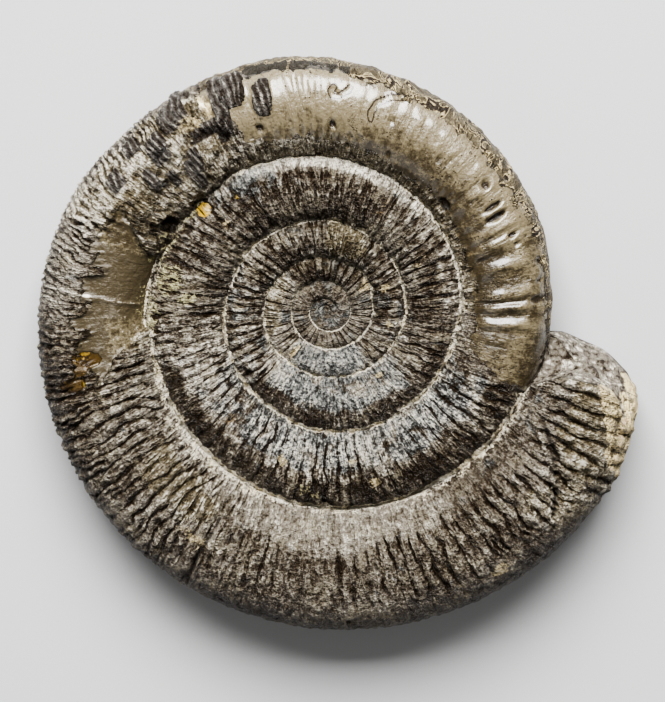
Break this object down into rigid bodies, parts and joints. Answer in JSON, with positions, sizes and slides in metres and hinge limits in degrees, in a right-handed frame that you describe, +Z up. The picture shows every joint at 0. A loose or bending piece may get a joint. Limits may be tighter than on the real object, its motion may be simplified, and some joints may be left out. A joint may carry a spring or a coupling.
{
  "type": "ammonite fossil",
  "caption": "Ribbed, openly coiled ammonite turned to stone, lying on its side, with part of its last whorl rubbed smooth and its mouth broken off.",
  "frame": {"origin": "under the middle of the fossil's outline, on the surface it rests on", "axes": "+Z up along the coil's axis, +X towards the broken mouth, +Y along the shorter side of the outline; the spiral opens anticlockwise seen from +Z"},
  "size_m": [0.0972, 0.093, 0.0179],
  "materials": {
    "fossil_stone": "matte grey-brown stone with polished golden-brown mould on part of the last whorl"
  },
  "bodies": {
    "root": {"ammonite": "fossil_stone"}
  },
  "joints": []
}
